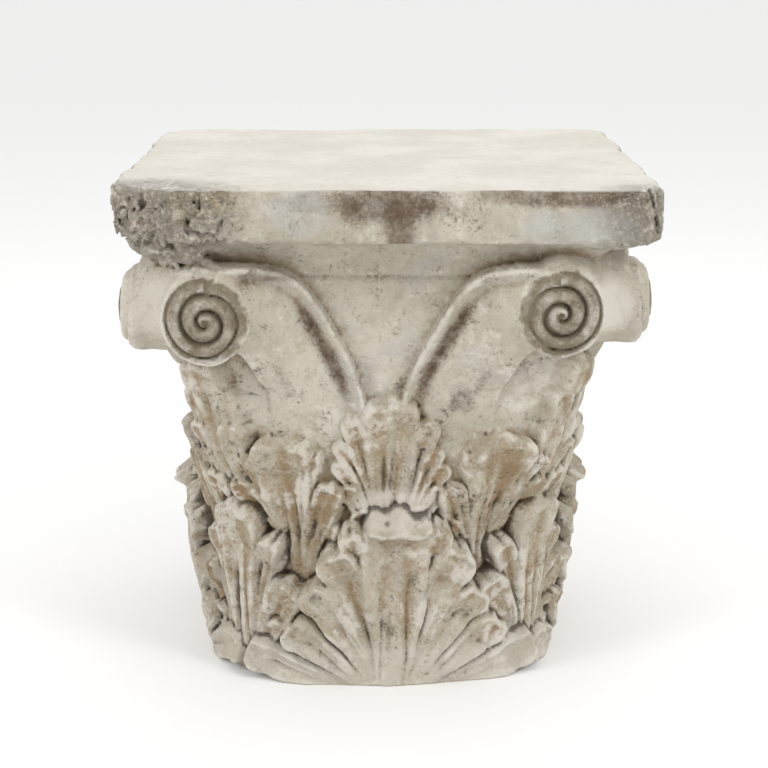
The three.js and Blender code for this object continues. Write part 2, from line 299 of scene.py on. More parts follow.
def lobe(
    skin, leaf_at, controls, half_widths, rises, scoop, ochre, rng,
    curl=0.66, square=2.0, ripple=0.0, groove=None,
):
    """Raises one spoon-shaped lobe along a bend. controls are three (sideways, up) places, half_widths
    are its values at the foot and the end, and rises those at the foot, along the body and at the end.
    From curl on it bends outwards to its end, square is how square that end is, ripple how far its edge
    waves, and groove how far from its middle line a pair of fine grooves runs."""
    length = sum(math.dist(a, b) for a, b in zip(controls, controls[1:]))
    way, across = np.meshgrid(
        np.linspace(0, 1, round(length / MAP_STEP * 2) + 2),
        np.linspace(-1, 1, round(4 * max(half_widths) / MAP_STEP) + 2),
        indexing="ij",
    )
    foot, bend, end = [np.array(c, float) for c in controls]
    centre = [
        (1 - way) ** 2 * foot[i] + 2 * way * (1 - way) * bend[i] + way**2 * end[i] for i in range(2)
    ]
    along = [2 * (1 - way) * (bend[i] - foot[i]) + 2 * way * (end[i] - bend[i]) for i in range(2)]
    speed = np.hypot(*along) + 1e-6
    rounding = np.clip(0.95 * half_widths[1] / length, 0.08, 0.5)
    roundness = (1 - np.clip((way - 1 + rounding) / (rounding + 1e-3), 0, 1) ** square) ** (1 / square)
    spot = rng.uniform(0, 30, 3)
    wave = 1 + WIDTH_WAVE * groove_noise(way * 4 + spot[0], np.sign(across) * 3 + spot[1])
    spread = smoothstep(way, -0.1, 1 - 0.7 * rounding)
    width = (half_widths[0] + (half_widths[1] - half_widths[0]) * spread) * roundness * wave
    sideways = centre[0] + along[1] / speed * width * across
    waves = ripple * np.cos(across * width / half_widths[1] * RIPPLES + 0.4 * spot[2])
    waves = waves * smoothstep(way, curl, 1)
    up = centre[1] - along[0] / speed * width * across + waves

    body = rises[0] + (rises[1] - rises[0]) * smoothstep(way, -0.1, 0.65)
    edge = np.abs(across)
    bending = smoothstep(way - 0.05 * edge**2, curl, curl / 2 + 0.5)
    rise = body + (rises[2] - rises[1]) * bending
    inner = smoothstep(way, 0.15, 0.55) * (1 - smoothstep(way, 0.9, 0.99))
    hollow = (1 - np.clip(edge / 0.8, 0, 1) ** 2) * inner
    flutes = np.cos(across * FLUTES + spot[2]) * (1 - edge) + groove_noise(across * 4 + spot[0], way * 3)
    flutes = FLUTE_DEPTH * flutes * smoothstep(way, 0.05, 0.3) * (1 - smoothstep(way, 0.62, 0.85))
    shoulder = 1 - np.sqrt(1 - np.clip((edge - 0.72) / 0.28, 0, 1) ** 2)
    rise = rise - scoop * hollow + flutes - shoulder * (3 + 0.3 * rise)
    rise = rise * (1 - 0.5 * smoothstep(way, 0.94, 1))
    rise = rise + 0.6 * waves
    streaks = 0.5 + 0.5 * groove_noise(across * 3.3 + spot[1], way * 1.6 + spot[2])
    tint = ochre + 0.75 * hollow * streaks + 0.35 * streaks**2 + 0.2 * (1 - smoothstep(way, 0, 0.35))
    if groove:
        lines = bump(edge * width, groove, RIB_GROOVE_WIDTH) * (1 - smoothstep(way, 0.5, 0.75))
        rise = rise - RIB_GROOVE_DEPTH * lines
        tint = tint + 0.4 * lines

    warp = [
        WANDER * warp_noise((sideways + leaf_at) / WANDER_LENGTH + shift, up / WANDER_LENGTH + shift)
        for shift in (0, 9.7)
    ]
    skin.raise_to(leaf_at + sideways + warp[0], up + warp[1], rise, tint)


def leaf(skin, kind, turn, rng):
    """One leaf about a turn from the front: its side lobes, each with its piece of the low web, then its
    middle lobe."""
    leaf_at = turn * carving_radius + LEAVES_ASIDE
    foot, tip, foot_rise = kind["foot"], kind["tip"], kind["rises"][0]
    for side in (-1, 1):
        for out, top, half_width, rise in kind["lobes"]:
            out += rng.uniform(*SIDEWAYS_BY_HAND)
            top += rng.uniform(*UP_BY_HAND)
            reach = top - foot
            low = 1 - reach / (tip - foot)
            start = (side * (0.8 * kind["stalk"] + out * 0.36 * low), foot + 0.12 * reach)
            middle = (side * out * (0.45 + 0.3 * low), foot + reach * (0.68 - 0.24 * low))
            web_end = (side * out * WEB_REACH, foot + WEB_REACH * reach)
            rise *= rng.uniform(*RISE_BY_HAND)
            web_widths = [half_width * share for share in WEB_WIDTHS]
            widths = [half_width * share for share in LOBE_WIDTHS]
            lobe(
                skin, leaf_at, (start, middle, web_end), web_widths,
                (WEB_FOOT * foot_rise, WEB_BODY * rise, WEB_BODY * rise), 0, kind["ochre"], rng,
            )
            lobe(
                skin, leaf_at, (start, middle, (side * out, top)), widths,
                (foot_rise, LOBE_BODY * rise, rise), LOBE_SCOOP * half_width, kind["ochre"], rng,
                ripple=LOBE_RIPPLE * half_width,
            )
    lobe(
        skin, leaf_at, ((0, foot), (0, (foot + tip) / 2), (0, tip)), (kind["stalk"], kind["half_width"]),
        kind["rises"], kind["scoop"], kind["ochre"], rng, **kind["end"],
    )


def carve_leaves():
    skin = SkinMap()
    rng = np.random.default_rng(5)
    for face in range(4):
        quarter = face * math.pi / 2
        leaf(skin, UPPER_CORNER_LEAF, quarter + math.pi / 4, rng)
        leaf(skin, UPPER_FACE_LEAF, quarter, rng)
        for side in (-1, 1):
            leaf(skin, MIDDLE_LEAF, quarter + side * MIDDLE_LEAF_TURN, rng)
        leaf(skin, CORNER_LEAF, quarter + math.pi / 4, rng)
        leaf(skin, FACE_LEAF, quarter + (FRONT_LEAF_TURN if face == 0 else 0), rng)
    skin.finish()
    return skin


def spline(points, share):
    """A smooth curve through evenly timed points, read at shares of its length."""
    points = np.array(points, float)
    padded = np.vstack([2 * points[0] - points[1], points, 2 * points[-1] - points[-2]])
    at = np.clip(share, 0, 1) * (len(points) - 1)
    piece = np.minimum(at.astype(int), len(points) - 2)
    t = (at - piece)[..., None]
    a, b, c, d = [padded[piece + i] for i in range(4)]
    return 0.5 * (2 * b + (c - a) * t + (2 * a - 5 * b + 4 * c - d) * t**2 + (3 * b - a - 3 * c + d) * t**3)


# Across a stem, from its upper edge down: its ridge, its groove, its belly, and the fold in the belly at a
# share of the stem's width. Then how far its edge drops at the volute, and how finely it is worked out.
RIDGE_AT, RIDGE_WIDTH, RIDGE_RISE = 5, 5, 5.5
STEM_GROOVE_AT, STEM_GROOVE_WIDTH, STEM_GROOVE_DEPTH = 18, 7, 6.5
BELLY_FROM, BELLY_RISE = 26, 6
FOLD_SHARE, FOLD_WIDTH, FOLD_DEPTH = 0.74, 9, 2.5
EDGE_DROP = 10
STEM_SAMPLES = (700, 260)


# The stem's upper and lower edges on a face as (aside, out, up), from the middle to the volute.
def stem_edges():
    top, low = volute_z + VOLUTE_RADIUS, volute_z - VOLUTE_RADIUS

    def out(share):
        return BELL_TOP_RADIUS + (volute_face - BELL_TOP_RADIUS) * share

    def on_bell(share, rise):
        return float(bell_half_width(share * bell_height)) + rise

    upper = [
        (0.04 * volute_side, on_bell(0.48, 1), 0.48 * bell_height),
        (0.1 * volute_side, on_bell(0.72, 5), 0.72 * bell_height),
        (0.28 * volute_side, out(0.1), low + 0.27 * (top - low)),
        (0.48 * volute_side, out(0.5), low + 0.84 * (top - low)),
        (0.7 * volute_side, out(0.9), top),
        (volute_side, volute_face - 2, top + 1),
    ]
    lower = [
        (0.6 * volute_side, on_bell(0.48, -2), 0.48 * bell_height),
        (0.66 * volute_side, on_bell(0.72, 1), 0.7 * bell_height),
        (0.72 * volute_side, out(0.1), low - 30),
        (0.79 * volute_side, out(0.45), low - 8),
        (0.88 * volute_side, out(0.8), low + 4),
        (volute_side, volute_face - 3, low + 4),
    ]
    return upper, lower


def carve_stem():
    """How far out a stem stands and how much brown lies on it, on maps of one half of a face: aside from
    its middle, and up."""
    columns = round(half_slab / MAP_STEP) + 1
    rows = round(slab_underside / MAP_STEP) + 1
    surface = np.full((rows, columns), 0.5 * BELL_FOOT_RADIUS, np.float32)
    brown = np.zeros((rows, columns), np.float32)
    upper, lower = stem_edges()
    way = np.linspace(0, 1, round(STEM_SAMPLES[0] / MAP_STEP))
    share = np.linspace(0, 1, round(STEM_SAMPLES[1] / MAP_STEP))[:, None, None]
    a, b = spline(upper, way), spline(lower, way)
    place = a + (b - a) * share
    reach = np.linalg.norm(b - a, axis=1)
    distance = share[..., 0] * reach
    belly = np.sin(math.pi * np.clip((distance - BELLY_FROM) / (reach - BELLY_FROM), 0, 1)) ** 0.8
    fold = bump(distance, FOLD_SHARE * reach, FOLD_WIDTH) * smoothstep(way, 0.25, 0.55)
    groove = STEM_GROOVE_DEPTH * bump(distance, STEM_GROOVE_AT, STEM_GROOVE_WIDTH)
    ridge = RIDGE_RISE * bump(distance, RIDGE_AT, RIDGE_WIDTH) - groove
    belly = belly * smoothstep(way, -0.3, 0.6)
    last = smoothstep(way, 0.8, 1)
    out = place[..., 1] + ridge * (1 - last) + BELLY_RISE * belly - FOLD_DEPTH * fold
    out = out - EDGE_DROP * last * (1 - smoothstep(distance, 0, 8))
    column = np.round(place[..., 0] / MAP_STEP).astype(int)
    row = np.round(place[..., 2] / MAP_STEP).astype(int)
    inside = (column >= 0) & (column < columns) & (row >= 0) & (row < rows)
    np.maximum.at(surface, (row[inside], column[inside]), out[inside])
    in_groove = bump(distance, 19, 9) * smoothstep(way, 0.12, 0.25) * (1 - 0.6 * smoothstep(way, 0.45, 0.6))
    in_fold = 0.7 * bump(distance, FOLD_SHARE * reach, 8) * smoothstep(way, 0.15, 0.25)
    in_fold = in_fold * (1 - smoothstep(way, 0.35, 0.5))
    beside_rim = 0.6 * bump(distance, 0, 4) + 0 * way
    shade = np.maximum(np.maximum(in_groove, in_fold), beside_rim)
    np.maximum.at(brown, (row[inside], column[inside]), shade[inside])
    return soften(surface, 2, "edge"), soften(brown, 2, "edge")


def read_map(values, row, column, wrap):
    """Reads a map between its cells, going round from its last column to its first where wrap is true."""
    just_inside = 1.001
    rows, columns = values.shape
    row = np.clip(row, 0, rows - just_inside)
    column = column % columns if wrap else np.clip(column, 0, columns - just_inside)
    r, c = row.astype(int), column.astype(int)
    fr, fc = row - r, column - c
    c_next = (c + 1) % columns
    near = values[r, c % columns] * (1 - fc) + values[r, c_next] * fc
    far = values[r + 1, c % columns] * (1 - fc) + values[r + 1, c_next] * fc
    return near * (1 - fr) + far * fr


# The spiral on a volute's end: how much of its radius it loses in a turn, how high its band is, and how deep
# and wide the cleft beside the band.
SPIRAL_SHRINK = 0.36
SPIRAL_BAND = 5.0
SPIRAL_CLEFT = 5.5
SPIRAL_CLEFT_WIDTH = 2.3


def spiral_relief(radius, turn):
    """The spiral on a volute's end: a rounded band with a cleft along its edges."""
    start = VOLUTE_RADIUS - 1
    band = (1 - radius / start) / SPIRAL_SHRINK - (turn / (2 * math.pi)) % 1
    share = band % 1
    inside = smoothstep(band, -0.1, 0.02) * smoothstep(radius, 2.0, 5.0)
    beside = np.minimum(share, 1 - share) * start * SPIRAL_SHRINK
    cleft = SPIRAL_CLEFT * bump(beside, 0, SPIRAL_CLEFT_WIDTH)
    return inside * (SPIRAL_BAND * np.sin(math.pi * share) ** 0.8 - cleft)


# How far each volute was cast off its place, aside and up, how much higher its roll is at the corner, and
# how uneven its ends are over a length.
VOLUTE_SHIFT = {(-1, -1): (-1, -9), (1, -1): (-5, -3), (1, 1): (1, 1), (-1, 1): (0, -2)}
VOLUTE_RAISED = 0.6
VOLUTE_UNEVEN = 1.6
UNEVEN_LENGTH = 21

# A volute's ends are domes: how high, to what power, and the share of the spiral's depth on them. Those that
# face the sides reach out to SIDE_REACH from the slab's middle, and soot lies on this share of their radius.
SIDE_DOME = 18.0
SIDE_REACH = 248.8
FRONT_END = (11.0, 1, 1)
SIDE_END = (SIDE_DOME, 0.5, 0.5)
SIDE_SOOT = 0.6


def volute(x, y, z, side_out):
    """Signed distance to a corner's roll and its two domed, spiral ends, in a corner where x, y > 0."""
    bend = volute_face - volute_side
    from_x, from_y = np.clip(volute_face - x, 0, None), np.clip(volute_face - y, 0, None)
    turn = np.arctan2(from_y, from_x + 1e-6)
    waist = VOLUTE_RADIUS * (1 - VOLUTE_WAIST * np.sin(2 * turn))
    raised = 1 + VOLUTE_RAISED * np.sqrt(np.clip(np.sin(2 * turn), 0, 1))
    above = np.where(z > volute_z, (z - volute_z) / raised, z - volute_z)
    roll = np.hypot(np.hypot(from_x, from_y) - bend, above) - waist
    roll = np.maximum(roll, np.maximum(x - side_out, y) - volute_face)
    place = [p / UNEVEN_LENGTH for p in (x, y, z + 0 * x)]
    by_hand = [VOLUTE_UNEVEN * stone_noise(place[0] + shift, *place[1:]) for shift in (1.5, 8.5)]
    ends = (x, y, 0, FRONT_END), (y, x, side_out, SIDE_END)
    for beside, out, reach, (height, power, depth) in ends:
        aside, above = beside - volute_side + by_hand[0], z - volute_z + by_hand[1]
        radius = np.hypot(aside, above)
        around = np.arctan2(aside, above)
        dome = height * np.clip(1 - (radius / (VOLUTE_RADIUS + 1)) ** 2, 0, 1) ** power
        dome = volute_face + reach + dome + depth * spiral_relief(radius, around)
        end = np.maximum(out - dome, radius - VOLUTE_RADIUS)
        end = np.maximum(end, volute_face - bend - out)
        roll = np.minimum(roll, end)
    return roll


def volutes(x, y, z):
    """Signed distance to the four volutes."""
    whole = FAR_OFF + 0 * x
    for (sx, sy), (aside, up) in VOLUTE_SHIFT.items():
        here = (sx * x > 0) & (sy * y > 0)
        side_out = SIDE_REACH - aside - volute_face - SIDE_DOME
        whole[here] = volute(sx * x[here] - aside, sy * y[here] - aside, z - up, side_out)
    return whole


def on_spiral(x, y, z):
    """1 where soot lies on the volutes' ends, 0 off them."""
    share = 0 * x
    side_radius = SIDE_SOOT * VOLUTE_RADIUS
    for (sx, sy), (aside, up) in VOLUTE_SHIFT.items():
        along_x, along_y = sx * x - aside, sy * y - aside
        ends = (along_x, along_y, VOLUTE_RADIUS), (along_y, along_x, side_radius)
        for beside, out, wide in ends:
            radius = np.hypot(beside - volute_side, z - up - volute_z)
            inside = 1 - smoothstep(radius, wide - 3, wide + 1)
            share = np.maximum(share, inside * smoothstep(out, volute_face - 9, volute_face - 2))
    return share


# The slab's wear: how uneven its sides are, how far out they start, how far its top is worn down, how much
# of the unevenness is on it, and how much more and how unevenly the edges are rounded.
SLAB_UNEVEN = [(1.9, 60, 0), (1.0, 19, 0)]
SIDE_OUT, TOP_WORN, TOP_UNEVEN = 0.6, 0.3, 0.25
ROUND_MORE, ROUND_UNEVEN, ROUND_LENGTH = 1.5, 4, 30


def slab(x, y, z):
    """Signed distance to the slab with its worn edges and broken corners."""
    middle = HEIGHT - SLAB_THICKNESS / 2
    wander = unevenness((x, y, z), SLAB_UNEVEN)
    sides = [np.abs(x) - half_slab, np.abs(y) - half_slab]
    for (sx, sy), (loss_x, loss_y) in CORNER_LOSS.items():
        length = math.hypot(loss_x, loss_y)
        cut = ((sx * x - half_slab) * loss_y + (sy * y - half_slab) * loss_x + loss_x * loss_y) / length
        sides.append(cut)
    side = np.maximum.reduce(sides) - SIDE_OUT + wander
    flat = np.abs(z - middle) - SLAB_THICKNESS / 2 + TOP_WORN + TOP_UNEVEN * wander
    uneven = stone_noise(x / ROUND_LENGTH + 5, y / ROUND_LENGTH, z / ROUND_LENGTH)
    round_off = SLAB_ROUND + ROUND_MORE + ROUND_UNEVEN * uneven
    a, b = np.maximum(side + round_off, 0), np.maximum(flat + round_off, 0)
    return np.minimum(np.maximum(side, flat) + round_off, 0) + np.hypot(a, b) - round_off


# The lumps that the slab sags into under its corners: how wide and how deep.
CORNER_LUMPS = {(-1, -1): (44, 24), (1, -1): (38, 10), (1, 1): (34, 9), (-1, 1): (34, 9)}
LUMP_INSET = 9.0


def corner_lumps(x, y, z):
    """Signed distance, roughly, to the lumps under the slab's corners."""
    whole = FAR_OFF + 0 * x
    for (sx, sy), (wide, deep) in CORNER_LUMPS.items():
        middle = half_slab - wide - LUMP_INSET
        aside = np.hypot(sx * x - middle, sy * y - middle) / wide
        lump = (np.hypot(aside, (z - slab_underside) / deep) - 1) * deep
        whole = np.minimum(whole, lump)
    return whole


# How far the broken front left and front right corners reach, along x and y. A break is as rough as its
# ridges, pits, lumps and crumbs: how broad and how high each kind is.
LEFT_BREAK = (150, 100)
RIGHT_BREAK = (80, 55)
RIDGE_SIZE, RIDGE_HEIGHT = 30, 8
PIT_SIZE, PIT_DEPTH = 9, 5
LUMP_SIZE, LUMP_HEIGHT = 16, 7
CRUMB_SIZE, CRUMB_HEIGHT = 11, 4

# A notch in the slab's lower edge at the front right, and a leaning crack near the corner.
NOTCH_PLACE = (222, -half_slab, 458)
NOTCH_SIZE = (20, 9, 9)
NOTCH_DEPTH = 6
CRACK_X, CRACK_Z, CRACK_LEAN = 240, 475, 0.3
CRACK_WIDTH, CRACK_DEPTH, CRACK_FOOT = 1.6, 5, 458


def broken(x, y):
    """How near a place is to the broken front left and front right corners, each from 0 to 1."""
    left = np.hypot((x + half_slab) / LEFT_BREAK[0], (y + half_slab) / LEFT_BREAK[1])
    right = np.hypot((x - half_slab) / RIGHT_BREAK[0], (y + half_slab) / RIGHT_BREAK[1])
    return 1 - smoothstep(left, 0.5, 1.0), 1 - smoothstep(right, 0.2, 1.0)


def corner_damage(x, y, z):
    """How much is eaten away: deep and porous at the front left, chipped at the front right."""
    left, right = broken(x, y)
    below_top = 0.25 + 0.75 * (1 - smoothstep(z, HEIGHT - 14, HEIGHT - 4))
    below_top = below_top * (0.35 + 0.65 * smoothstep(z, slab_underside - 12, slab_underside + 2))
    ridges = 1 - np.abs(layered(chip_noise, (x, y, z * 0.6), RIDGE_SIZE, 3))
    pits = smoothstep(layered(chip_noise, (x + 90, y + 90, z + 90), PIT_SIZE, 2), 0.2, 0.6)
    lumps = layered(stone_noise, (x + 40, y + 40, z + 40), LUMP_SIZE, 3, 0.7)
    crumbs = 1 - np.abs(layered(chip_noise, (x + 30, y + 30, z + 30), CRUMB_SIZE, 2))
    rough = RIDGE_HEIGHT * smoothstep(ridges, 0.86, 0.99) + PIT_DEPTH * pits + LUMP_HEIGHT * lumps
    rough = rough + CRUMB_HEIGHT * smoothstep(crumbs, 0.8, 0.98)
    eaten = left * np.clip(rough, -3, None) + right * np.clip(0.35 * rough - 1, -1, None)
    notch = [((p - middle) / size) ** 2 for p, middle, size in zip((x, y, z), NOTCH_PLACE, NOTCH_SIZE)]
    notch = np.sqrt(sum(notch))
    crack = bump(x + CRACK_LEAN * (z - CRACK_Z) + 2 * lumps, CRACK_X, CRACK_WIDTH)
    crack = crack * (1 - smoothstep(y, -240, -225))
    damage = eaten * below_top + NOTCH_DEPTH * (1 - smoothstep(notch, 0.5, 1.2))
    return damage + CRACK_DEPTH * crack * (z > CRACK_FOOT)


def smooth_min(a, b, radius):
    """The lower of two distances, with a soft join over a radius."""
    near = np.clip(radius - np.abs(a - b), 0, None) / radius
    return np.minimum(a, b) - near * near * radius / 4


def on_skin(x, y, z):
    """How far a place is from the middle line and how far the bell is there, and the row and column of the
    skin map that the place's stone came from."""
    radius, turn = np.hypot(x, y), np.arctan2(x, -y)
    skin = bell_radius(turn, np.clip(z, 0, slab_underside))
    hanging = DROOP * np.clip(radius - skin - DROOP_FROM, 0, None)
    return radius, skin, (z + hanging) / MAP_STEP, turn * carving_radius / MAP_STEP


def upright(x, z):
    """Where a place across the leaning casting would be if it stood straight."""
    return x + LEAN * (1 - np.clip(z / slab_underside, 0, 1))


def on_face(x, y):
    """How far out a place lies on the nearest of the four faces, and how far beside its middle."""
    a, b = np.abs(x), np.abs(y)
    return np.maximum(a, b), np.minimum(a, b)


# How softly the stems and volutes join the bell, the lumps the slab, and the slab the rest, and how far
# below the slab its lumps and breaks reach.
STEM_JOIN = 5.0
VOLUTE_JOIN = 3.0
LUMP_JOIN = 8.0
SLAB_JOIN = 9.0
BELOW_SLAB = 30


def capital_field(carving, stem_map):
    """The casting's signed distance on a grid, as an array and the place of its first cell."""
    start = np.array([-half_slab - MARGIN, -half_slab - MARGIN, -MARGIN])
    counts = [int((SLAB_SIDE + 2 * MARGIN) / VOXEL)] * 2 + [int((HEIGHT + 2 * MARGIN) / VOXEL)]
    xs, ys, zs = [start[i] + VOXEL * np.arange(counts[i]) for i in range(3)]
    x, y = np.meshgrid(xs, ys, indexing="ij")
    field = np.zeros(counts, np.float32)
    for k, z in enumerate(zs):
        straight = upright(x, z)
        out, beside = on_face(straight, y)
        radius, skin, row, column = on_skin(straight, y, z)
        body = radius - skin - read_map(carving.rise, row, column, True)
        stem_out = read_map(stem_map, np.full_like(x, z / MAP_STEP), beside / MAP_STEP, False)
        stems = np.maximum(out - stem_out, radius - 2 * half_slab)
        solid = smooth_min(body, stems, STEM_JOIN)
        solid = smooth_min(solid, volutes(x, y, z), VOLUTE_JOIN)
        solid = np.maximum(solid, z - slab_underside - SLAB_THICKNESS / 2)
        if z > slab_underside - BELOW_SLAB:
            top = smooth_min(slab(x, y, z), corner_lumps(x, y, z), LUMP_JOIN)
            solid = smooth_min(solid, top, SLAB_JOIN)
            solid = solid + corner_damage(x, y, np.full_like(x, z))
        solid = np.maximum(solid, -z)
        field[:, :, k] = np.clip(solid, -FIELD_LIMIT, FIELD_LIMIT)
    return field, start


def mesh_of(field, start):
    """The surface where the field is zero, as points in millimetres and four-sided faces."""
    grid = openvdb.FloatGrid(FIELD_LIMIT)
    grid.copyFromArray(field)
    points, quads = grid.convertToQuads(isovalue=0.0)
    return points.astype(np.float64) * VOXEL + start, quads


def without_crumbs(points, quads):
    """Keeps the largest connected part of a surface, and drops crumbs that hang free and closed pockets."""
    part = np.arange(len(points))
    while True:
        lowest = part[quads].min(axis=1)
        joined = part.copy()
        for corner in range(4):
            np.minimum.at(joined, quads[:, corner], lowest)
        joined = joined[joined]
        if np.array_equal(joined, part):
            break
        part = joined
    kept = part == np.bincount(part).argmax()
    renumbered = np.cumsum(kept) - 1
    return points[kept], renumbered[quads[kept[quads[:, 0]]]]


def normals_of(points, quads):
    diagonals = points[quads[:, 2]] - points[quads[:, 0]], points[quads[:, 3]] - points[quads[:, 1]]
    face = np.cross(*diagonals)
    total = np.zeros_like(points)
    for corner in range(4):
        for axis in range(3):
            total[:, axis] += np.bincount(quads[:, corner], face[:, axis], len(points))
    return total / (np.linalg.norm(total, axis=1, keepdims=True) + 1e-9)


# How uneven the skin is, and how high and broad its grit and pores are. Above the leaves it is smoother,
# and what is this close to the floor stays where it stands.
SKIN_UNEVEN = [(0.9, 38, 0), (0.5, 13, 3)]
GRIT_HEIGHT, GRIT_SIZE = 0.35, 6.5
PORE_DEPTH, PORE_SIZE = 0.9, 5.3
CARVED_UP_TO = (290, 330)
STANDS_UP_TO = 1.5


def roughen(points, quads):
    """Hand-made unevenness, pores and small chips, kept inside the solid model's box."""
    normal = normals_of(points, quads)
    place = [points[:, i] for i in range(3)]
    z = place[2]
    uneven = unevenness(place, SKIN_UNEVEN)
    grit = GRIT_HEIGHT * layered(stone_noise, place, GRIT_SIZE, 2)
    pores = smoothstep(chip_noise(*[p / PORE_SIZE for p in place]), 0.55, 0.85)
    carved = 1 - smoothstep(z, *CARVED_UP_TO)
    on_top = smoothstep(normal[:, 2], 0.6, 0.9) * smoothstep(z, HEIGHT - 20, HEIGHT - 5)
    shift = uneven * (0.6 + 0.6 * carved) * (1 - 0.7 * on_top)
    shift = shift + grit * (1 - 0.6 * on_top) - PORE_DEPTH * pores * (0.3 + 0.7 * carved) * (1 - on_top)
    moved = points + normal * shift[:, None]
    standing = z < STANDS_UP_TO
    moved[standing, 2] = np.clip(points[standing, 2], 0, None)
    moved[:, :2] = np.clip(moved[:, :2], -half_slab, half_slab)
    moved[:, 2] = np.clip(moved[:, 2], 0, HEIGHT)
    return moved


def new_object(name, points, faces):
    mesh = bpy.data.meshes.new(name)
    mesh.vertices.add(len(points))
    mesh.vertices.foreach_set("co", (points * MM).astype(np.float32).ravel())
    sides = faces.shape[1]
    mesh.loops.add(len(faces) * sides)
    mesh.loops.foreach_set("vertex_index", faces.astype(np.int32).ravel())
    mesh.polygons.add(len(faces))
    mesh.polygons.foreach_set("loop_start", np.arange(0, len(faces) * sides, sides, dtype=np.int32))
    mesh.update(calc_edges=True)
    mesh.validate()
    thing = bpy.data.objects.new(name, mesh)
    bpy.context.scene.collection.objects.link(thing)
    return thing


def points_of(thing):
    """A mesh's points, in metres."""
    points = np.zeros(len(thing.data.vertices) * 3)
    thing.data.vertices.foreach_get("co", points)
    return points.reshape(-1, 3)


def thinned(thing, most):
    """Takes triangles away where the surface is flat, until no more than this many are left, and keeps
    what is left inside the solid model's box."""
    count = sum(len(p.vertices) - 2 for p in thing.data.polygons)
    if count > most:
        modifier = thing.modifiers.new("thin", "DECIMATE")
        modifier.ratio = most / count
        modifier.use_collapse_triangulate = True
        graph = bpy.context.evaluated_depsgraph_get()
        mesh = bpy.data.meshes.new_from_object(thing.evaluated_get(graph))
        thing.modifiers.clear()
        thing.data = mesh
    points = np.clip(points_of(thing), list(low_corner), list(high_corner))
    thing.data.vertices.foreach_set("co", points.ravel())
    thing.data.polygons.foreach_set("use_smooth", np.ones(len(thing.data.polygons), bool))
    return thing


def box_blur(volume, cells):
    """The average over a box that reaches this many cells to each side."""
    for axis in range(3):
        padded = np.moveaxis(volume, axis, 0)
        padded = np.concatenate([padded[:1]] * (cells + 1) + [padded] + [padded[-1:]] * cells)
        total = np.cumsum(padded, axis=0, dtype=np.float64)
        blurred = (total[2 * cells + 1:] - total[:-2 * cells - 1]) / (2 * cells + 1)
        volume = np.moveaxis(blurred.astype(np.float32), 0, axis)
    return volume


def add_mark(thing, name, values):
    attribute = thing.data.attributes.new(name, "FLOAT", "POINT")
    attribute.data.foreach_set("value", values.astype(np.float32))


def add_carving_marks(thing, carving, stem_map, stem_brown):
    """Stores for the material where the leaves, clefts, stems, spirals and broken corners are."""
    x, y, z = points_of(thing).T / MM
    straight = upright(x, z)
    radius, skin, row, column = on_skin(straight, y, z)
    rise = read_map(carving.rise, row, column, True)
    on_leaf = smoothstep(rise, 1, 5) * (1 - smoothstep(np.abs(radius - skin - rise), 4, 8))
    add_mark(thing, "leaf", on_leaf)
    add_mark(thing, "tint", read_map(carving.tint, row, column, True) * on_leaf)
    # The cleft mark is where the material paints shade into the clefts.
    add_mark(thing, "cleft", read_map(carving.cleft, row, column, True) * on_leaf)
    out, beside = on_face(straight, y)
    at_stem = z / MAP_STEP, beside / MAP_STEP
    on_stem = 1 - smoothstep(np.abs(out - read_map(stem_map, *at_stem, False)), 3, 6)
    add_mark(thing, "stem_brown", read_map(stem_brown, *at_stem, False) * on_stem * (1 - on_leaf))
    add_mark(thing, "spiral", on_spiral(x, y, z))
    in_slab = smoothstep(z, slab_underside - BELOW_SLAB, slab_underside - BELOW_SLAB / 2)
    add_mark(thing, "broken", np.maximum(*broken(x, y)) * in_slab)


# How far round a point the stone is looked at, for fine and for broad hollows.
HOLLOW_REACH = {"fine_hollow": 5.0, "broad_hollow": 17.0}


def add_hollow_marks_for_shade_and_tone(thing, field, start):
    """Stores how much stone lies about each point, near it and further off, for the material, which paints
    shade into the hollows by it and lays ochre and chalk by it. It is half on a flat face, more in a hollow
    and less on a ridge."""
    place = (points_of(thing) / MM - start) / VOXEL
    cell = np.clip(np.floor(place).astype(int), 0, np.array(field.shape) - 2)
    share = place - cell
    stone = np.clip(0.5 - field / VOXEL, 0, 1)
    for name, reach in HOLLOW_REACH.items():
        cells = max(1, round(reach / VOXEL / 2))
        around = box_blur(box_blur(stone, cells), cells)
        value = 0
        for corner in np.ndindex(2, 2, 2):
            weight = np.prod([share[:, i] if corner[i] else 1 - share[:, i] for i in range(3)], axis=0)
            value = value + weight * around[tuple(cell[:, i] + corner[i] for i in range(3))]
        add_mark(thing, name, value)


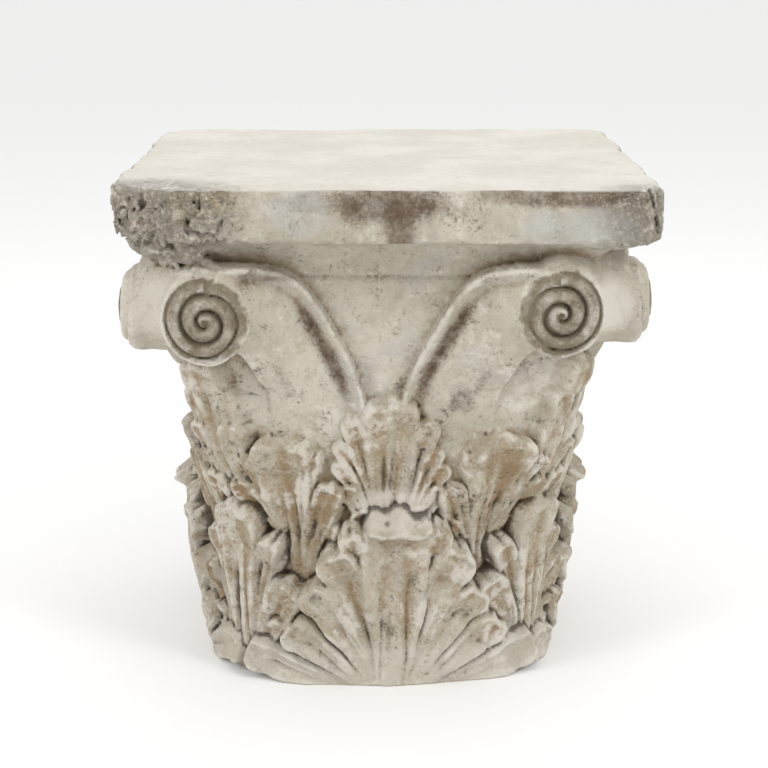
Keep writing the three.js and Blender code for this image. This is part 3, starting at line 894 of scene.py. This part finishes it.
class Stone:
    """The stone's material: short ways to add shader nodes, the noises and marks that its layers share, and
    the tone that the layers build up."""

    def __init__(self):
        self.material = bpy.data.materials.new("weathered_cast_stone")
        self.material.use_nodes = True
        self.tree = self.material.node_tree
        self.shader = self.tree.nodes["Principled BSDF"]
        self.position = self.add("ShaderNodeTexCoord").outputs["Object"]
        self.height = self.upward(self.position)
        self.fine = self.stored("fine_hollow")
        self.broad = self.stored("broad_hollow")
        self.grain = self.noise(3.2, 6, 0.72, shift=4.4)
        self.blotch = self.noise(11, 7, 0.65, shift=1.7)
        self.ragged = self.noise(20, 9, 0.72, shift=6.6)
        self.patchy = self.between(self.noise(9, 8, 0.75, shift=3.7), 0.36, 0.6, 0.6, 1.0)
        self.tone = CREAM

    def add(self, kind, **settings):
        node = self.tree.nodes.new(kind)
        for key, value in settings.items():
            setattr(node, key, value)
        return node

    def feed(self, socket, value):
        if isinstance(value, bpy.types.NodeSocket):
            self.tree.links.new(value, socket)
        else:
            socket.default_value = value

    def math(self, operation, a, b):
        node = self.add("ShaderNodeMath", operation=operation)
        self.feed(node.inputs[0], a)
        self.feed(node.inputs[1], b)
        return node.outputs[0]

    def times(self, a, b):
        return self.math("MULTIPLY", a, b)

    def plus(self, value, noise, amount):
        """A value pushed up and down by a noise."""
        return self.math("ADD", value, self.times(self.math("SUBTRACT", noise, 0.5), amount))

    def between(self, value, start, end, low=0.0, high=1.0):
        """A smooth step from low at one value to high at another."""
        node = self.add("ShaderNodeMapRange", interpolation_type="SMOOTHSTEP")
        names = "Value", "From Min", "From Max", "To Min", "To Max"
        for name, given in zip(names, (value, start, end, low, high)):
            self.feed(node.inputs[name], given)
        return node.outputs["Result"]

    def mix(self, share, a, b):
        node = self.add("ShaderNodeMix", data_type="RGBA")
        colours = [s for s in node.inputs if s.type == "RGBA"]
        self.feed(node.inputs["Factor"], share)
        self.feed(colours[0], a)
        self.feed(colours[1], b)
        return [s for s in node.outputs if s.type == "RGBA"][0]

    def stored(self, name):
        """A value that was stored at the mesh's points."""
        return self.add("ShaderNodeAttribute", attribute_name=name).outputs["Fac"]

    def upward(self, vector):
        """A vector's part along Z."""
        node = self.add("ShaderNodeSeparateXYZ")
        self.feed(node.inputs[0], vector)
        return node.outputs["Z"]

    def noise(self, size, detail, rough=0.55, shift=0.0):
        """Noise from 0 to 1 with lumps of a size in millimetres."""
        mapping = self.add("ShaderNodeMapping")
        self.feed(mapping.inputs["Vector"], self.position)
        mapping.inputs["Location"].default_value = (shift, shift, shift)
        node = self.add("ShaderNodeTexNoise")
        self.feed(node.inputs["Vector"], mapping.outputs[0])
        node.inputs["Scale"].default_value = 1 / (size * MM)
        node.inputs["Detail"].default_value = detail
        node.inputs["Roughness"].default_value = rough
        return node.outputs[0]

    def spot(self, middle, size):
        """1 at a place, fading to 0 over a size, both in millimetres."""
        away = self.position
        for operation, places in (("SUBTRACT", middle), ("DIVIDE", size), ("LENGTH", ())):
            node = self.add("ShaderNodeVectorMath", operation=operation)
            self.feed(node.inputs[0], away)
            if places:
                node.inputs[1].default_value = [p * MM for p in places]
            away = node.outputs[0]
        return self.between(node.outputs["Value"], 1.0, 0.3)

    def from_height(self, start, end):
        """0 at one height and 1 at another, both in millimetres."""
        return self.between(self.height, start * MM, end * MM)

    def share(self, value, start, end, **noises):
        """0 where a value is at its start and 1 at its end, made ragged by amounts of the shared noises."""
        for noise, amount in noises.items():
            value = self.plus(value, getattr(self, noise), amount)
        return self.between(value, start, end)

    def lay(self, pigment, strength, share):
        self.tone = self.mix(self.times(share, strength), self.tone, pigment)

    def layer(self, pigment, strength, value, start, end, **noises):
        self.lay(pigment, strength, self.share(value, start, end, **noises))


def colour(red, green, blue):
    """A linear colour from one given as a screen shows it, 0 to 255."""
    parts = [c / 255 for c in (red, green, blue)]
    return [p / 12.92 if p <= 0.04045 else ((p + 0.055) / 1.055) ** 2.4 for p in parts] + [1.0]


CREAM = colour(180, 172, 154)
PALE = colour(200, 193, 178)
CHALK = colour(220, 215, 204)
WHITE = colour(230, 226, 217)
GREY = colour(168, 167, 163)
BLUE_GREY = colour(190, 191, 187)
OCHRE = colour(148, 126, 94)
RUST = colour(144, 116, 86)
UMBER = colour(98, 80, 66)
SOOT = colour(115, 102, 80)
# DARK is the painted shade in the clefts and hollows, and the colour of the pinholes.
DARK = colour(44, 35, 27)

# Stains and washes on the slab, and one stain beside the front left volute: the middle and the reach of
# each in millimetres, and its strength. Those of the front are where the photograph shows them.
STAINS = [
    ((2, -250, 487), (85, 40, 30), 0.95),
    ((12, -250, 466), (24, 40, 34), 0.8),
    ((-58, -250, 488), (50, 40, 16), 0.45),
    ((160, -250, 494), (115, 40, 17), 0.9),
    ((205, -250, 478), (60, 40, 22), 0.45),
    ((-195, -235, 472), (50, 60, 40), 0.25),
    ((-104, -232, 418), (46, 40, 14), 0.6),
    ((40, 250, 485), (95, 40, 24), 0.8),
    ((250, 60, 484), (40, 90, 24), 0.8),
    ((-250, -40, 486), (40, 100, 22), 0.8),
]
WASHES = [((178, -250, 464), (90, 40, 30), 0.5), ((-75, -250, 478), (44, 40, 36), 0.4)]

# Painted highlights on the rolls of the front volutes, on the right and the left, and painted light over the
# shade on the front leaf's tip, as middle and reach.
PAINTED_ROLL_LIGHTS = ((212, -225, 384), (34, 60, 56), 0.9), ((-212, -225, 384), (34, 60, 56), 0.4)
PAINTED_TIP_LIGHT = (6, -205, 187), (74, 50, 28)
PINHOLE_SPACING = 8


def add_clouds(stone):
    """Clouds of pale wash, grey and ochre, each with a ragged edge."""
    stone.layer(PALE, 1.0, stone.noise(80, 8, 0.62), 0.4, 0.6)
    stone.layer(GREY, 0.5, stone.noise(50, 8, 0.65, shift=3.1), 0.5, 0.66)
    stone.layer(OCHRE, 0.45, stone.noise(38, 8, 0.68, shift=8.3), 0.52, 0.68)
    stone.layer(OCHRE, 0.3, stone.blotch, 0.52, 0.7)
    stone.layer(CHALK, 0.35, stone.blotch, 0.46, 0.32)
    smooth_part = stone.times(stone.from_height(250, 310), stone.from_height(452, 440))
    stone.lay(CHALK, 0.2, smooth_part)


def add_leaf_colours(stone):
    """Ochre and rust down the leaves' hollows and in streaks, chalk on their rims."""
    tint = stone.stored("tint")
    stone.lay(OCHRE, 0.1, stone.stored("leaf"))
    stone.layer(OCHRE, 0.78, tint, 0.08, 0.92, blotch=0.8, grain=0.7)
    rusty = stone.plus(tint, stone.noise(24, 6, 0.6, shift=5.5), 1.6)
    stone.layer(RUST, 0.5, rusty, 0.4, 1.05, grain=0.6)
    stone.layer(OCHRE, 0.65, stone.broad, 0.57, 0.76, blotch=0.4)
    stone.layer(CHALK, 0.7, stone.fine, 0.47, 0.32, blotch=0.4)


def add_stains(stone):
    """A fine speckle, then umber stains and blue-grey washes."""
    stone.layer(UMBER, 0.3, stone.grain, 0.54, 0.7)
    stone.layer(CHALK, 0.3, stone.grain, 0.45, 0.32)
    for middle, size, strength in STAINS:
        stain = stone.share(stone.spot(middle, size), 0.1, 1.15, ragged=2.0, grain=1.0)
        stone.lay(UMBER, stone.patchy, stone.times(stain, strength))
    for middle, size, strength in WASHES:
        stone.layer(BLUE_GREY, strength, stone.spot(middle, size), 0.2, 1.0, ragged=1.8, grain=0.8)


def add_soot(stone):
    """Brown run along the stems, and soot on the volutes' ends."""
    brown = stone.share(stone.stored("stem_brown"), 0.3, 1.1, ragged=1.1, grain=0.8)
    stone.lay(UMBER, stone.patchy, brown)
    stone.layer(SOOT, 0.85, stone.stored("spiral"), 0.35, 1.05, ragged=1.1, fine=1.5, grain=0.6)


def add_crumbling(stone):
    """Chalk, ochre and soot on the broken corners. Gives how crumbled a place is."""
    broken_here = stone.stored("broken")
    crumbled = stone.times(broken_here, stone.between(stone.noise(9, 6, 0.7, shift=2.9), 0.4, 0.62))
    stone.lay(CHALK, 0.6, stone.times(broken_here, stone.between(stone.grain, 0.5, 0.36)))
    stone.lay(OCHRE, 0.15, broken_here)
    stone.lay(SOOT, 0.25, crumbled)
    return crumbled


def add_painted_light_and_pale_parts(stone):
    """Painted light on the front rolls and the front leaf's tip, paler stone towards the foot, and a paler
    flat top, partly its own tone and partly painted top light.
    """
    off_spiral = stone.math("SUBTRACT", 1.0, stone.stored("spiral"))
    # Painted highlights: chalk on the front rolls, stronger on the right, where more light falls.
    for middle, size, strength in PAINTED_ROLL_LIGHTS:
        roll_light = stone.share(stone.spot(middle, size), 0.2, 0.8, ragged=0.8)
        stone.lay(CHALK, strength, stone.times(roll_light, off_spiral))
    # Painted light: chalk over the shade on the front leaf's tip, above its lip.
    stone.layer(CHALK, 0.65, stone.spot(*PAINTED_TIP_LIGHT), 0.1, 0.8, blotch=1.0)
    stone.layer(CHALK, 0.45, stone.from_height(75, 30), 0.4, 1.1, blotch=1.2)
    # Partly painted light: faces looking up near the top are made paler, as light falls from above, over the
    # top's own paler tone.
    facing_up = stone.upward(stone.add("ShaderNodeNewGeometry").outputs["Normal"])
    top = stone.times(stone.between(facing_up, 0.7, 0.95), stone.from_height(480, 495))
    top_tone_and_light = stone.mix(stone.between(stone.noise(110, 8, 0.62, shift=4), 0.4, 0.62), CHALK, WHITE)
    top_tone_and_light = stone.mix(stone.times(stone.between(stone.blotch, 0.52, 0.7), 0.15), top_tone_and_light, OCHRE)
    stone.lay(top_tone_and_light, 0.95, top)


def add_painted_shade_and_pinholes(stone):
    """Painted shade in the clefts and hollows, then dark pinholes. Gives where the pinholes are."""
    # Painted shade: DARK laid in the clefts between the lobes and in the fine and broad hollows, where shade
    # falls.
    stone.layer(DARK, 0.75, stone.stored("cleft"), 0.22, 0.7, grain=0.5)
    stone.layer(DARK, 0.65, stone.fine, 0.62, 0.8, grain=0.2)
    stone.layer(DARK, 0.45, stone.broad, 0.7, 0.85)
    pin = stone.add("ShaderNodeTexVoronoi")
    stone.feed(pin.inputs["Vector"], stone.position)
    pin.inputs["Scale"].default_value = 1 / (PINHOLE_SPACING * MM)
    some = stone.between(stone.noise(26, 2, shift=9), 0.5, 0.6)
    holes = stone.times(stone.between(pin.outputs["Distance"], 0.09, 0.04), some)
    stone.lay(DARK, 0.6, holes)
    return holes


def stone_material():
    stone = Stone()
    add_clouds(stone)
    add_leaf_colours(stone)
    add_stains(stone)
    add_soot(stone)
    crumbled = add_crumbling(stone)
    add_painted_light_and_pale_parts(stone)
    holes = add_painted_shade_and_pinholes(stone)
    stone.feed(stone.shader.inputs["Base Color"], stone.tone)
    stone.shader.inputs["Metallic"].default_value = 0.0
    stone.feed(stone.shader.inputs["Roughness"], stone.between(stone.blotch, 0.3, 0.7, 0.82, 0.97))
    stone.shader.inputs["Specular IOR Level"].default_value = 0.2

    relief = stone.math("ADD", stone.times(stone.grain, 0.8), stone.blotch)
    relief = stone.math("SUBTRACT", relief, stone.times(holes, 0.8))
    relief = stone.math("SUBTRACT", relief, stone.times(crumbled, 1.5))
    bumpy = stone.add("ShaderNodeBump")
    bumpy.inputs["Strength"].default_value = 0.8
    bumpy.inputs["Distance"].default_value = 0.0035
    stone.feed(bumpy.inputs["Height"], relief)
    stone.feed(stone.shader.inputs["Normal"], bumpy.outputs[0])
    return stone.material


def make_capital():
    carving = carve_leaves()
    stem_map, stem_brown = carve_stem()
    field, start = capital_field(carving, stem_map)
    points, quads = without_crumbs(*mesh_of(field, start))
    points = roughen(points, quads)
    thing = thinned(new_object("weathered_capital", points, quads), MOST_TRIANGLES)
    add_hollow_marks_for_shade_and_tone(thing, field, start)
    add_carving_marks(thing, carving, stem_map, stem_brown)
    thing.data.materials.append(stone_material())
    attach(thing, "root")
    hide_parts("capital")
    return thing


# The studio: a pale floor, soft light all round, and the camera where the photograph was taken.
IMAGE_PIXELS = 768
FOCAL_PIXELS = 1858
SENSOR_MM = 36
CAMERA_BACK = 1.8847
CAMERA_UP = 0.7299
CAMERA_ASIDE = -0.0013
CAMERA_PITCH = math.radians(13.98)


def make_camera():
    data = bpy.data.cameras.new("camera")
    data.sensor_width = SENSOR_MM
    data.lens = SENSOR_MM * FOCAL_PIXELS / IMAGE_PIXELS
    camera = bpy.data.objects.new("camera", data)
    camera.location = (CAMERA_ASIDE, -CAMERA_BACK, CAMERA_UP)
    camera.rotation_euler = (math.pi / 2 - CAMERA_PITCH, 0, 0)
    bpy.context.scene.collection.objects.link(camera)
    bpy.context.scene.camera = camera


def make_floor():
    bpy.ops.mesh.primitive_plane_add(size=80)
    floor = bpy.context.object
    floor.name = "floor"
    material = bpy.data.materials.new("floor")
    material.use_nodes = True
    shader = material.node_tree.nodes["Principled BSDF"]
    shader.inputs["Base Color"].default_value = (0.93, 0.93, 0.925, 1)
    shader.inputs["Roughness"].default_value = 0.9
    floor.data.materials.append(material)


def make_light(name, place, size, power, target=(0, 0, 0.25)):
    data = bpy.data.lights.new(name, "AREA")
    data.shape = "DISK"
    data.size = size
    data.energy = power
    light = bpy.data.objects.new(name, data)
    light.location = place
    light.rotation_euler = (Vector(target) - Vector(place)).to_track_quat("-Z", "Y").to_euler()
    bpy.context.scene.collection.objects.link(light)


def make_studio():
    world = bpy.data.worlds.new("studio")
    world.use_nodes = True
    world.node_tree.nodes["Background"].inputs["Color"].default_value = (1, 1, 1, 1)
    world.node_tree.nodes["Background"].inputs["Strength"].default_value = 0.92
    bpy.context.scene.world = world
    make_light("key", (1.9, -1.7, 2.1), 1.0, 24)
    make_light("fill", (-2.0, -1.6, 1.9), 1.0, 20)
    make_light("back", (0.2, 1.2, 2.8), 1.8, 10)
    bpy.context.scene.view_settings.view_transform = "Standard"


make_camera()
make_floor()
make_studio()
make_capital()
